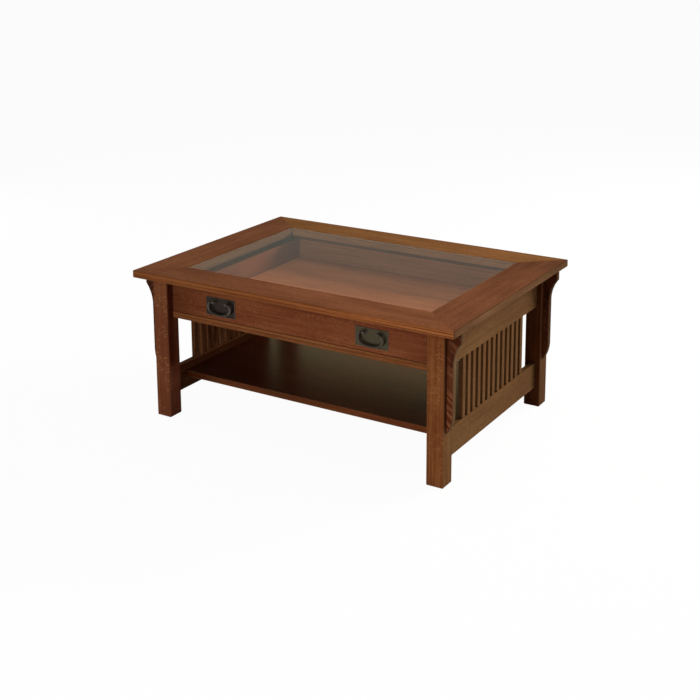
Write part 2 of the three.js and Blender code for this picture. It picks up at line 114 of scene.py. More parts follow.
class Recipe:
    def __init__(self, tree):
        self.tree = tree
        tree.nodes.clear()

    def node(self, kind, settings=None, sockets=None, out=0):
        made = self.tree.nodes.new(kind)
        for name, value in (settings or {}).items():
            if name == "stops":
                stops = made.color_ramp.elements
                while len(stops) < len(value):
                    stops.new(1.0)
                for stop, (position, colour) in zip(stops, value):
                    stop.position = position
                    stop.color = (*colour, 1.0)
            else:
                setattr(made, name, value)
        for name, value in (sockets or {}).items():
            join(self.tree, made.inputs[name], value)
        return Wire(self.tree, made.outputs[out]) if made.outputs else None

    def mixed(self, share, first, second, how="MIX"):
        settings = {"data_type": "RGBA", "blend_type": how, "clamp_factor": True}
        return self.node("ShaderNodeMix", settings, {0: share, 6: first, 7: second}, out=2)

    def vectorMaths(self, operation, first, second):
        return self.node("ShaderNodeVectorMath", {"operation": operation}, {0: first, 1: second})

    def part(self, vector, axis):  # one coordinate of a vector
        return self.node("ShaderNodeSeparateXYZ", None, {0: vector}, out=axis)

    def ease(self, value, start, end):  # 0 at the start, 1 at the end and smooth between, either way round
        sockets = {"Value": value, "From Min": start, "From Max": end}
        return self.node("ShaderNodeMapRange", {"interpolation_type": "SMOOTHSTEP"}, sockets)

    def clouds(self, place, size, detail=2.0, rough=0.5, shift=(0, 0, 0), turn=(0, 0, 0)):
        mapping = {"Vector": place, "Location": shift, "Rotation": turn, "Scale": size}
        spot = self.node("ShaderNodeMapping", {"vector_type": "TEXTURE"}, mapping)
        sockets = {"Vector": spot, "Scale": 1.0, "Detail": detail, "Roughness": rough}
        return self.node("ShaderNodeTexNoise", None, sockets)

    def surface(self, shader):
        self.node("ShaderNodeOutputMaterial", None, {"Surface": shader})


def newFinish(name):
    material = bpy.data.materials.new(name)
    material.use_nodes = True
    return material, Recipe(material.node_tree)


# Oak

axes = "XYZ"
seedSteps = (0.731, 1.137, 0.517)  # metres along X, Y and Z from one board's grain to the next one's
facingOnset = (0.45, 0.85)         # how square a face stands to a way to count as facing it

oakLook = {
    "along": "X", "face": "Z", "seed": 0.0, "box": None,
    "dark": "55301b", "mid": "72442a", "light": "8a5a38",
    "contrast": 0.62,   # of the growth bands
    "flecks": 0.45,     # share of the ray fleck colour
    "fleckSize": (0.0036, 0.017, 0.012),  # of one fleck, along the grain, across it and into the board
    "fleckTurn": 0.25,  # slant of the flecks, in radians
    "pores": 0.45,
    "arris": "9a6a44",  # colour of the eased edges, and its share
    "arrisShare": 0.10,
    "tints": (),        # (way, colour): how the faces that look that way took the stain
    "shadeFades": (),        # (way or None, axis, start, end, share): painted shade, those faces grow darker from start to end
    "corner": None,     # box of a corbel on the piece, with painted shade in the corners beside it
    "streaks": 0.0,     # share of light and dark lines on the long edges
    "gloss": 0.04,      # weight of the satin lacquer, and its colour and roughness
    "sheen": (1.0, 0.92, 0.7),
    "sheenRough": 0.28,
    "rough": 0.42,
}
grainForm = {  # sizes along the grain, across the board's face and into the board
    "drift": (0.34, 0.13, 0.13),    # of the waves that bend the growth lines
    "wander": (0.0, 0.022, 0.022),  # how far they bend them
    "bands": (0.55, 0.0085, 0.03),
    "lines": (0.16, 0.0024, 0.0045),
    "patches": (0.22, 0.07, 0.07),
    "pores": (0.016, 0.0006, 0.0006),
    "fleckGroups": (0.09, 0.035, 0.035),
    "streaks": (0.9, 0.2, 0.0036),
}
grainOnsets = {  # the part of a noise's range over which a feature comes up
    "pores": (0.56, 0.66), "flecks": (0.53, 0.64), "fleckGroups": (0.44, 0.6),
    "lightStreaks": (0.5, 0.68), "darkStreaks": (0.46, 0.37),
}
grainShares = {
    "bands": 1.15, "lines": 1.2,        # in the colour
    "edgeFlecks": 0.3,                  # of the flecks on the board's edges
    "roughBands": 0.2, "roughPores": 0.12,
    "lineHeight": 0.5, "poreDepth": 0.9, "fleckHeight": 0.25,
}
toneStops = {"dark": 0.14, "mid": 0.5, "light": 0.9}  # where a board's stains lie over the grain's tone
streakStains = {"light": "a86a3a", "dark": "552a16"}
# painted shade on the legs beside the corbels
cornerShadeForm = {
    "stain": "45190b", "reach": 0.019, "full": 0.004,  # out from the corbel's sides
    "below": 0.004, "above": 0.03,                     # from the corbel's lower end
    "share": 0.36, "frontShare": 0.5,                  # deepest on the front side
}
arrisForm = {"reach": 0.0036, "full": 0.0008}  # metres from an arris, where its rubbing starts and is full
lacquerForm = {"ior": 1.45, "strength": 1.8, "bump": 0.35, "relief": 0.0004}


def seedShift(seed):
    return tuple(seed * step for step in seedSteps)


def grainSize(look, along, across, into):
    # the three sizes of a feature in X, Y, Z order
    sizes = {look["along"]: along, look["face"]: into}
    return tuple(sizes.get(axis, across) for axis in axes)


def facing(nodes, way):
    # 1 on faces that look along the way, such as +Y or -Y, and 0 on the others; a bare X takes both ways
    normal = nodes.node("ShaderNodeTexCoord", out="Normal")
    part = nodes.part(normal, way[-1])
    reach = {"+": part, "-": -1 * part}.get(way[0], part.most(-1 * part))
    return nodes.ease(reach, *facingOnset)


def arrisDistance(nodes, place, box):
    # metres to the nearest arris of the piece's box, for a point on its surface
    low, high = box
    centre = tuple((a + b) / 2 for a, b in zip(low, high))
    half = tuple((b - a) / 2 for a, b in zip(low, high))
    offset = nodes.vectorMaths("SUBTRACT", place, centre)
    apart = nodes.node("ShaderNodeVectorMath", {"operation": "ABSOLUTE"}, {0: offset})
    inside = nodes.vectorMaths("SUBTRACT", half, apart)
    x, y, z = (nodes.part(inside, axis) for axis in axes)
    return x.least(y).most(x.most(y).least(z))  # the middle one of the three face distances


def edgeStreaks(nodes, place, colour, look, shift):
    streak = nodes.clouds(place, grainSize(look, *grainForm["streaks"]), detail=1.0, shift=shift)
    share = facing(nodes, "Y") * look["streaks"]
    for tone, code in streakStains.items():
        onset = nodes.ease(streak, *grainOnsets[tone + "Streaks"])
        colour = nodes.mixed(onset * share, colour, stain(code))
    return colour


def paintedCornerShade(nodes, place, colour, box):
    # painted shade on the leg in the corners beside its corbel, where the corbel shades it
    form = cornerShadeForm
    low, high = box
    y, z = nodes.part(place, "Y"), nodes.part(place, "Z")
    beside = nodes.ease((low.y - y).most(y - high.y), form["reach"], form["full"])
    beside = beside * nodes.ease(z, low.z - form["below"], low.z + form["above"])
    share = nodes.ease(y, high.y, low.y) * form["frontShare"] + form["share"]
    return nodes.mixed(beside * facing(nodes, "X") * share, colour, stain(form["stain"]))


def oakGrain(nodes, place, look):
    # colour, roughness and height of stained quartered oak, with painted shade where a look asks for it
    shift = seedShift(look["seed"])
    shares = grainShares

    def field(feature, where, detail=1.0, rough=0.5):
        size = grainSize(look, *grainForm[feature])
        return nodes.clouds(where, size, detail=detail, rough=rough, shift=shift)

    # the growth lines wander a few millimetres along the board
    drift = nodes.vectorMaths("SUBTRACT", field("drift", place).also("Color"), (noiseMiddle,) * 3)
    wander = nodes.vectorMaths("MULTIPLY", drift, grainSize(look, *grainForm["wander"]))
    spot = nodes.vectorMaths("ADD", place, wander)
    bands = field("bands", spot, detail=2.0, rough=0.55)
    lines = field("lines", spot, detail=2.0, rough=0.6)
    patches = field("patches", place)
    pores = nodes.ease(field("pores", spot), *grainOnsets["pores"])
    contrast = look["contrast"]
    tone = (bands - noiseMiddle) * (shares["bands"] * contrast)
    tone = tone + (lines - noiseMiddle) * (shares["lines"] * contrast)
    tone = tone + (patches - noiseMiddle) * contrast + toneStops["mid"]
    stops = [(position, stain(look[name])) for name, position in toneStops.items()]
    colour = nodes.node("ShaderNodeValToRGB", {"stops": stops}, {"Fac": tone})
    # medullary rays: short bright ribbons across the grain, in groups, fewer on the board's edges
    turn = tuple(look["fleckTurn"] if axis == look["face"] else 0.0 for axis in axes)
    ribbons = nodes.clouds(place, grainSize(look, *look["fleckSize"]), detail=1.0, rough=0.45,
                           shift=shift, turn=turn)
    groups = nodes.ease(field("fleckGroups", place), *grainOnsets["fleckGroups"])
    broadside = facing(nodes, look["face"]) * (1 - shares["edgeFlecks"]) + shares["edgeFlecks"]
    fleck = nodes.ease(ribbons, *grainOnsets["flecks"]) * groups * broadside * look["flecks"]
    colour = nodes.mixed(fleck, colour, stain(look["light"]))
    colour = nodes.mixed(pores * look["pores"], colour, stain(look["dark"]), "MULTIPLY")
    for way, tint in look["tints"]:
        colour = nodes.mixed(facing(nodes, way), colour, nodes.mixed(1.0, colour, tint, "MULTIPLY"))
    if look["streaks"]:
        colour = edgeStreaks(nodes, place, colour, look, shift)
    if look["corner"]:
        colour = paintedCornerShade(nodes, place, colour, look["corner"])
    # painted shade: the faces grow darker along an axis
    for way, axis, begin, finish, share in look["shadeFades"]:
        paintedShade = nodes.ease(nodes.part(place, axis), begin, finish) * share
        colour = nodes.mixed(paintedShade * facing(nodes, way) if way else paintedShade, colour, black)
    rough = look["rough"] + (bands - noiseMiddle) * shares["roughBands"] + pores * shares["roughPores"]
    height = lines * shares["lineHeight"] - pores * shares["poreDepth"] + fleck * shares["fleckHeight"]
    return colour, rough, height


def oakSurface(nodes, look, colour, rough, height):
    form = lacquerForm
    bump = nodes.node("ShaderNodeBump", None,
                      {"Strength": form["bump"], "Distance": form["relief"], "Height": height})
    wood = nodes.node("ShaderNodeBsdfPrincipled", None, {
        "Base Color": colour, "Roughness": rough, "Normal": bump, "Specular IOR Level": 0.0})
    lacquer = nodes.node("ShaderNodeBsdfGlossy", None,
                         {"Color": look["sheen"], "Roughness": look["sheenRough"]})
    share = nodes.node("ShaderNodeFresnel", None, {"IOR": form["ior"]}) * (1 - rough)
    share = share * (look["gloss"] * form["strength"])
    nodes.surface(nodes.node("ShaderNodeMixShader", None, {0: share, 1: wood, 2: lacquer}))


def oakFinish(name, **changes):
    look = {**oakLook, **changes}
    material, nodes = newFinish(name)
    place = nodes.node("ShaderNodeTexCoord", out="Object")
    colour, rough, height = oakGrain(nodes, place, look)
    if look["box"]:
        rub = nodes.ease(arrisDistance(nodes, place, look["box"]), arrisForm["reach"], arrisForm["full"])
        colour = nodes.mixed(rub * look["arrisShare"], colour, stain(look["arris"]))
    oakSurface(nodes, look, colour, rough, height)
    return material


def dress(node, finish):
    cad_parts[node].material_slots[0].material = finish


def dressInOak(node, look, **changes):
    # a finish for one board, with edges rubbed along its own box
    dress(node, oakFinish(node + " oak", **{**look, **changes}, box=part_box(node)))


print("oak for the top frame")
# the edge faces' tints are partly the boards' own tone and partly painted light and shade
topLook = {
    "face": "Z", "dark": "5a3420", "mid": "70432a", "light": "855438",
    "tints": (("X", (0.78, 1.06, 1.15)), ("Y", (1.18, 1.04, 0.9))),
}
# the shade fades are painted shade: the front board and its front edge darker towards the left end, the side
# boards darker towards the back
topBoards = {
    "top_board_front": {
        "along": "X", "seed": 1.0, "streaks": 0.6, "dark": "603722", "mid": "78472d", "light": "8d5a3c",
        "tints": (("Y", (1.62, 1.49, 1.12)),),
        "shadeFades": ((None, "X", 0.3, -0.55, 0.25), ("-Y", "X", 0.28, -0.1, 0.12)),
    },
    "top_board_back": {
        "along": "X", "seed": 2.0, "dark": "603d1d", "mid": "744b28", "light": "8a5d37",
        "tints": (("-Y", (1.6, 1.75, 2.3)), ("+Y", (1.0, 0.88, 1.0))),
    },
    "top_board_left": {
        "along": "Y", "seed": 3.0, "arris": "2e1a10", "arrisShare": 0.6,
        "shadeFades": ((None, "Y", -0.1, 0.35, 0.14),),
    },
    "top_board_right": {
        "along": "Y", "seed": 4.0, "arris": "2e1a10", "arrisShare": 0.6,
        "shadeFades": ((None, "Y", -0.15, 0.38, 0.32),),
    },
}
for name, changes in topBoards.items():
    dressInOak(name, topLook, **changes)

print("oak for the legs and end panels")
# the tints are partly the legs' own tone and partly painted light and shade: the sides lit olive, the rear
# faces of the front legs darker
legLook = {
    "along": "Z", "face": "Y", "dark": "592e18", "mid": "764425", "light": "94613c", "flecks": 0.55,
    "tints": (("X", (0.72, 0.98, 1.14)), ("-Y", (1.1, 1.08, 1.06)), ("+Y", (0.62, 0.74, 0.86))),
}
backLegShadeLook = {  # darker: painted shade, as the back legs stand in the table's shade
    "dark": "381a0c", "mid": "4c2814", "light": "5c3820",
    "tints": (("X", (0.98, 1.36, 1.75)), ("-Y", (0.82, 0.7, 0.7)), ("+Y", (1.35, 1.5, 1.6))),
}
leftLegLook = {
    "dark": "582d1b", "mid": "744129", "light": "935f3e", "contrast": 0.42,
    "flecks": 0.8, "fleckSize": (0.005, 0.02, 0.012), "fleckTurn": -0.5,
    "tints": (("+X", (0.8, 0.72, 0.84)), ("-X", (0.82, 0.9, 0.98)), ("+Y", (0.8, 0.86, 0.95))),
}


def legStain(end, side):
    # the left leg at the back has the back legs' darker stains, which are painted shade, and the left legs'
    # tints
    look = dict(legLook)
    if side == "left":
        look.update(leftLegLook)
    if end == "back":
        look.update(backLegShadeLook)
    if side == "left":
        look["tints"] = leftLegLook["tints"]
    return look


panelLook = {
    "face": "X", "dark": "4f341f", "mid": "65462b", "light": "745536", "flecks": 0.3, "contrast": 0.45,
    # painted shade: darker towards the back
    "shadeFades": ((None, "Y", -0.1, 0.29, 0.24),),
}
panelChanges = {"left": {"dark": "4b2918", "mid": "633a23", "light": "75492f"}, "right": {}}
slatChanges = {"left": {"contrast": 0.85, "light": "855a3a"}, "right": {}}
slatSeedStep = 3.3
bayShadeLook = {  # painted shade on the panels' inner faces, which are darker and grow more so towards the back
    "left": "+X", "right": "-X",
    "railShade": (0.55, 0.46, 0.4), "slatShade": (0.95, 0.92, 0.9),
    "fade": ("Y", -0.3, 0.15, 0.6),
}

seed = 10.0  # one more for each board from here on
for end in ("front", "back"):
    for side in sideSign:
        seed += 1
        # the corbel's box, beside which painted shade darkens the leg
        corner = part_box(f"corbel_{end}_{side}")
        dressInOak(f"leg_{end}_{side}", legStain(end, side), corner=corner, seed=seed)
for side in sideSign:
    inner = bayShadeLook[side]
    look = {**panelLook, **panelChanges[side]}
    look["shadeFades"] = (*look["shadeFades"], (inner, *bayShadeLook["fade"]))
    for level in ("upper", "lower"):
        seed += 1
        tints = ((inner, bayShadeLook["railShade"]),)
        dressInOak(f"side_rail_{level}_{side}", look, along="Y", seed=seed, tints=tints)
    slatLook = {**look, "along": "Z", "seed": seed + slatSeedStep, "tints": ((inner, bayShadeLook["slatShade"]),)}
    slatFinish = oakFinish(f"slats {side} oak", **{**slatLook, **slatChanges[side]})
    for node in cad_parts:
        if node.startswith(f"slat_{side}_"):
            dress(node, slatFinish)

print("oak for the shelf, rails and drawer")
otherOak = {
    # dark stain that is partly the shelf's own and partly painted shade of the bay; the tint lifts its edges
    # back, and the shade fades are painted shade towards the left
    "shelf": {
        "along": "X", "face": "Z", "dark": "2f130b", "mid": "3b190f", "light": "4a2517",
        "gloss": 0.335, "sheenRough": 0.3, "sheen": (1.0, 0.95, 0.53),
        "tints": (("Y", (2.9, 2.6, 1.3)),),
        "shadeFades": (("-Y", "X", -0.2, -0.48, 0.5), ("Z", "X", 0.0, -0.4, 0.3)),
    },
    "front_rail": {
        "along": "X", "face": "Z", "dark": "5e331c", "mid": "7c4a2a", "light": "8f5c38", "streaks": 0.4,
    },
    "back_apron": {"along": "X", "face": "Y"},
    # painted shade: darker towards both ends
    "drawer_front": {
        "along": "X", "face": "Y", "dark": "5f2e1e", "mid": "7f452a", "light": "905838",
        "contrast": 0.55, "flecks": 0.55,
        "shadeFades": ((None, "X", -0.2, -0.42, 0.3), (None, "X", 0.2, 0.45, 0.12)),
    },
}
innerLook = {
    "along": "Y", "face": "X", "dark": "5c3d24", "mid": "785333", "light": "8c6845",
    "gloss": 0.02, "flecks": 0.2, "rough": 0.55,
}
# painted light: the tray's sides grow darker towards the front, so they are lighter towards the back
traySideLook = {
    "dark": "66361f", "mid": "7e452b", "light": "94583a", "shadeFades": ((None, "Y", 0.1, -0.1, 0.4),),
}
innerOak = {
    "drawer_side_left": traySideLook,
    "drawer_side_right": traySideLook,
    # the back and bottom are stained paler and more orange than the table: painted light for the tray's dim
    # inside; the bottom's shade fade is painted shade towards the front
    "drawer_back": {"along": "X", "face": "Y", "dark": "80522f", "mid": "a26843", "light": "b47c56"},
    "drawer_bottom": {
        "along": "X", "face": "Z", "dark": "834a2a", "mid": "a85f34", "light": "b97346",
        "contrast": 0.5, "shadeFades": (("Z", "Y", -0.04, -0.24, 0.45),),
    },
    "drawer_runner_left": {},
    "drawer_runner_right": {},
    "top_cleat_left": {},
    "top_cleat_right": {},
}
for name, changes in otherOak.items():
    seed += 1
    dressInOak(name, changes, seed=seed)
for name, changes in innerOak.items():
    seed += 1
    dressInOak(name, innerLook, **changes, seed=seed)


# Meshes

smoothAngle = math.radians(35)  # edges that turn further stay sharp
broadFace = 1e-3                # square metres, over which the faces of a corbel or the pane stay flat


def makePiece(name, mesh, finish, body, replaced=(), flatOver=1.0):
    # faces over flatOver square metres keep their own flat shading
    bmesh.ops.recalc_face_normals(mesh, faces=mesh.faces)
    for edge in mesh.edges:
        large = any(face.calc_area() > flatOver for face in edge.link_faces)
        edge.smooth = not large and edge.calc_face_angle(0.0) < smoothAngle
    for face in mesh.faces:
        face.smooth = True
    data = bpy.data.meshes.new(name)
    mesh.to_mesh(data)
    mesh.free()
    data.materials.append(finish)
    piece = bpy.data.objects.new(name, data)
    scene.collection.objects.link(piece)
    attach(piece, body)
    if replaced:
        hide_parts(*replaced)


def smoothPath(corners, steps):
    # an even curve through the corners, whose handles are a third of each span
    ways = []
    for i, corner in enumerate(corners):
        before, after = corners[max(i - 1, 0)], corners[min(i + 1, len(corners) - 1)]
        ways.append((after - before).normalized())
    path = [corners[0]]
    for i in range(len(corners) - 1):
        span = (corners[i + 1] - corners[i]).length / 3
        handles = corners[i] + ways[i] * span, corners[i + 1] - ways[i + 1] * span
        path += interpolate_bezier(corners[i], *handles, corners[i + 1], steps + 1)[1:]
    return path


def skin(mesh, rings):
    # faces between rings of as many points each, and over both ends
    for low, high in zip(rings, rings[1:]):
        for k in range(len(low)):
            after = (k + 1) % len(low)
            mesh.faces.new((low[k], low[after], high[after], high[k]))
    mesh.faces.new(rings[0][::-1])
    mesh.faces.new(rings[-1])


def turned(mesh, profile, base, sides, outline=None):
    # a form turned about a line along -Y from base; profile holds (radius, reach) pairs
    rings = []
    for radius, reach in profile:
        ring = []
        for k in range(sides):
            angle = 2 * math.pi * k / sides
            wide = radius * (outline(angle) if outline else 1.0)
            ring.append(mesh.verts.new((base[0] + wide * math.cos(angle), base[1] - reach,
                                        base[2] + wide * math.sin(angle))))
        rings.append(ring)
    skin(mesh, rings)


# Corbels

print("corbels")
corbelForm = {
    "lipHeight": 28 * mm, "scoopHeight": 68 * mm, "toeHeight": 56 * mm, "shaftReach": 17 * mm,
    "outShare": 0.6, "downShare": 0.26, "upShare": 0.45,  # the handles of the scoop's curve
    "steps": 22, "round": 1.6 * mm, "roundSteps": 3,
}
bowTint = (0.75, 0.87, 1.05)  # of the curved faces, over the leg's own tints
sawnLooks = {  # the stains of the profile faces, the share of their rays, and of the painted shade at their top; the back pair's darker stains are painted shade
    "front": {"dark": "512413", "mid": "6d3c26", "light": "90593c", "raysShare": 0.68, "topShade": 0.36},
    "back": {"dark": "32140a", "mid": "482313", "light": "59301d", "raysShare": 0.6, "topShade": 0.0},
}
sawnForm = {
    "clouds": (0.03, 0.03, 0.09), "cloudOnset": (0.3, 0.7),
    "rays": (0.05, 0.05, 0.006), "rayOnset": (0.46, 0.62), "slant": 0.66, "rayHeight": 0.3,
    "shadeHeights": (0.24, 0.41),   # over the floor, between which the faces grow dark
    "rearTint": (0.62, 0.86, 1.0),  # of the faces that look back
    "left": (0.66, 0.72, 0.76),     # painted shade on the left pair
    "right": (1.0, 1.0, 1.0),
}


def corbelOutline(reach, height):
    # points in (outward, up) from the top inner corner, clockwise from the top
    form = corbelForm
    shaft, steps = form["shaftReach"], form["steps"]
    lip = -form["lipHeight"]
    scoop = lip - form["scoopHeight"]
    toe = -height + form["toeHeight"]
    start, end = Vector((reach, lip, 0)), Vector((shaft, scoop, 0))
    inward, downward = (reach - shaft) * form["outShare"], form["scoopHeight"] * form["downShare"]
    startHandle = Vector((reach - inward, lip - downward, 0))
    endHandle = Vector((shaft, scoop + form["scoopHeight"] * form["upShare"], 0))
    curve = interpolate_bezier(start, startHandle, endHandle, end, steps)
    radius = (form["toeHeight"] ** 2 + shaft ** 2) / (2 * shaft)
    sweep = math.asin(form["toeHeight"] / radius)
    arc = []
    for i in range(steps):
        angle = sweep * i / steps
        arc.append((shaft - radius + radius * math.cos(angle), toe - radius * math.sin(angle)))
    return [(0.0, 0.0), (reach, 0.0)] + [(p.x, p.y) for p in curve] + arc + [(0.0, -height)]


def corbelFinish(name, side, end, seed):
    # the sawn profile faces are dark with broad slanted rays, and the curved faces match the legs' sides
    form, sawn = sawnForm, sawnLooks[end]
    look = {**oakLook, **legStain(end, side), "seed": seed}
    look["tints"] = (*look["tints"], ("X", bowTint))
    material, nodes = newFinish(name)
    place = nodes.node("ShaderNodeTexCoord", out="Object")
    colour, rough, height = oakGrain(nodes, place, look)
    shift = seedShift(seed)
    broad = nodes.clouds(place, form["clouds"], detail=2.0, rough=0.6, shift=shift)
    broad = nodes.ease(broad, *form["cloudOnset"])
    profile = nodes.mixed(broad, stain(sawn["dark"]), stain(sawn["mid"]))
    turn = (0.0, sideSign[side] * form["slant"], 0.0)
    ray = nodes.clouds(place, form["rays"], detail=1.0, rough=0.4, shift=shift, turn=turn)
    ray = nodes.ease(ray, *form["rayOnset"])
    profile = nodes.mixed(ray * sawn["raysShare"], profile, stain(sawn["light"]))
    topShade = nodes.ease(nodes.part(place, "Z"), *form["shadeHeights"]) * sawn["topShade"]
    profile = nodes.mixed(topShade, profile, black)
    rear = nodes.mixed(1.0, profile, form["rearTint"], "MULTIPLY")
    profile = nodes.mixed(facing(nodes, "+Y"), profile, rear)
    profile = nodes.mixed(1.0, profile, form[side], "MULTIPLY")
    across = facing(nodes, "Y")
    colour = nodes.mixed(across, colour, profile)
    oakSurface(nodes, look, colour, rough, height + ray * across * form["rayHeight"])
    return material


sameDepth = 1e-6     # metres within which two places are equally far back
clearlyApart = 1e-4  # and over which they are apart


def isOuterArris(edge, inner, top):
    # true for the edges along the outline of both profile faces, but not at the leg or the top
    ends = [vert.co for vert in edge.verts]
    runsAlong = abs(ends[0].y - ends[1].y) < sameDepth
    standsOut = max(abs(end.x - inner) for end in ends) > clearlyApart
    return runsAlong and standsOut and min(end.z for end in ends) < top - clearlyApart


for end in ("front", "back"):
    for side, sign in sideSign.items():
        seed += 1
        node = f"corbel_{end}_{side}"
        low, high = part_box(node)
        inner = low.x if sign > 0 else high.x
        mesh = bmesh.new()
        outline = corbelOutline(high.x - low.x, high.z - low.z)
        face = mesh.faces.new([mesh.verts.new((inner + sign * u, low.y, high.z + v)) for u, v in outline])
        grown = bmesh.ops.extrude_face_region(mesh, geom=[face])
        moved = [v for v in grown["geom"] if isinstance(v, bmesh.types.BMVert)]
        bmesh.ops.translate(mesh, verts=moved, vec=(0, high.y - low.y, 0))
        arrises = [edge for edge in mesh.edges if isOuterArris(edge, inner, high.z)]
        bmesh.ops.bevel(mesh, geom=arrises, offset=corbelForm["round"], segments=corbelForm["roundSteps"],
                        profile=0.5, affect="EDGES", clamp_overlap=True)
        finish = corbelFinish(node + " oak", side, end, seed)
        makePiece(f"shaped_{node}", mesh, finish, "table", [node], flatOver=broadFace)


# Glass

print("glass")
paneForm = {"round": 0.8 * mm, "roundSteps": 3}
glassLook = {
    "ior": 1.45, "bounce": 0.325, "clear": (0.955, 0.97, 0.96), "shine": (1.0, 0.96, 0.82), "rough": 0.03,
}


def glassFinish():
    look = glassLook
    material, nodes = newFinish("clear glass")
    inside = nodes.node("ShaderNodeNewGeometry", out="Backfacing")
    bounce = nodes.node("ShaderNodeFresnel", None, {"IOR": look["ior"]}) * (1 - inside) * look["bounce"]
    clear = nodes.node("ShaderNodeBsdfTransparent", None, {"Color": look["clear"]})
    shine = nodes.node("ShaderNodeBsdfGlossy", None, {"Color": look["shine"], "Roughness": look["rough"]})
    nodes.surface(nodes.node("ShaderNodeMixShader", None, {0: bounce, 1: clear, 2: shine}))
    return material


low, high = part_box("glass_panel")
mesh = bmesh.new()
bmesh.ops.create_cube(mesh, size=1.0)
for vert in mesh.verts:
    vert.co = Vector([low[k] if vert.co[k] < 0 else high[k] for k in range(3)])
bmesh.ops.bevel(mesh, geom=list(mesh.edges), offset=paneForm["round"], segments=paneForm["roundSteps"],
                profile=0.5, affect="EDGES")
makePiece("glass_pane", mesh, glassFinish(), "table", ["glass_panel"], flatOver=broadFace)


# Pulls

print("pulls")
patinas = {
    "left": {"brown": "281e17", "green": "22271a"},
    "left bar": {"brown": "2a221b", "green": "242a20"},
    "right": {"brown": "473e2c", "green": "3a432f"},
    "right bar": {"brown": "2e261d", "green": "282d22"},
}
rubShares = {"posts": 0.3, "bails": 0.1}  # how far the patina is rubbed away all over
flankWearAndHighlight = {"left": 0.36, "right": 0.2}   # and on the bails' flanks, partly wear and partly a painted highlight
bronzeLook = {
    "cloud": (0.009, 0.009, 0.009), "greenOnset": (0.48, 0.7), "greenShare": 0.6,
    "speck": (0.0011, 0.0011, 0.0011), "speckShift": (0.3, 0.1, 0.7),
    "pale": "54493d", "paleOnset": (0.5, 0.8), "paleShare": 0.4,
    "pit": "1c1712", "pitOnset": (0.45, 0.2), "pitShare": 0.6,
    "bare": "6f665a",                               # where the patina is rubbed away, and where highlights are painted
    "rimOnset": (0.0018, 0.0004), "rimShare": 0.6,  # in from a plate's outline: the rubbed rim, partly wear and partly a painted highlight
    "flankOnset": (0.75, 0.97),                     # shares of the way from a bail's middle to its flank
    "cloudHeight": 0.7, "speckHeight": 0.4, "bump": 0.5, "relief": 0.0003,
    "metal": 0.75, "mirror": 0.3, "rough": 0.36, "speckRough": 0.4, "greenRough": 0.12,
}
plateForm = {
    "thickness": 2.4 * mm, "gap": 0.25 * mm, "rim": 3.4 * mm, "fieldDepth": 0.8 * mm,
    "roundWidth": 1.1 * mm, "roundDrop": 0.9 * mm,    # of the plate's outer edge
    "slopeBefore": 0.8 * mm, "slopeWidth": 1.5 * mm,  # of the way down from the rim to the field
    "dimple": 0.32 * mm, "dimplePitch": 5.5 * mm, "dimplePlace": (3.1, 7.7, 0.4), "dimpleMiddle": 0.4,
    "cell": 1.1 * mm,
    "edgeLines": tuple(n * mm for n in (0, 0.25, 0.6, 1.1, 2.0)),  # of the mesh, in from the edge
    "rimLines": tuple(n * mm for n in (-0.8, -0.3, 0.1, 0.7)),     # and from the rim's inner side
}
postForm = {  # the profile holds radius and reach in millimetres
    "apart": 46 * mm, "rise": 14 * mm, "sides": 32,
    "profile": [(6.6, -0.2), (6.8, 0.5), (6.5, 1.2), (5.1, 1.6), (4.6, 2.4), (4.7, 3.4), (5.2, 4.3),
                (5.6, 5.4), (5.6, 6.8), (5.2, 8.1), (4.4, 9.2), (3.0, 10.0), (1.5, 10.35), (0.4, 10.45)],
}
nutForm = {
    "washer": 6.6 * mm, "washerGap": 0.2 * mm, "washerHigh": 1.0 * mm, "washerSides": 32,
    "nut": 5.4 * mm, "seat": 1.1 * mm, "sunk": 0.05 * mm, "nutHigh": 4.0 * mm, "nutSides": 36,
    "chamfer": 0.5 * mm, "chamferShare": 0.94,
    "stud": 2.4 * mm, "studSunk": 0.3 * mm, "tail": 2.0 * mm, "studSides": 24,
    "threads": 5, "pitch": 0.4 * mm, "rootShare": 0.88, "tipShare": 0.7,
}
bailForm = {
    "pinReach": 6.2 * mm, "pinEnd": 20.7 * mm, "post": 28.5 * mm, "shoulder": 30.4 * mm,
    "pin": 2.2 * mm, "bar": 3.8 * mm, "drop": 35.5 * mm, "bow": 39.2 * mm, "swellShare": 0.4,
    "collarPlace": 1.6 * mm, "collarSpread": 0.9 * mm, "collarRise": 0.9 * mm, "sides": 20, "steps": 7,
    # points of the bow as shares of its half width and its drop
    "bowShares": ((0.93, 0.12), (1, 0.347), (0.95, 0.587), (0.778, 0.787), (0.543, 0.92), (0.296, 0.978)),
}


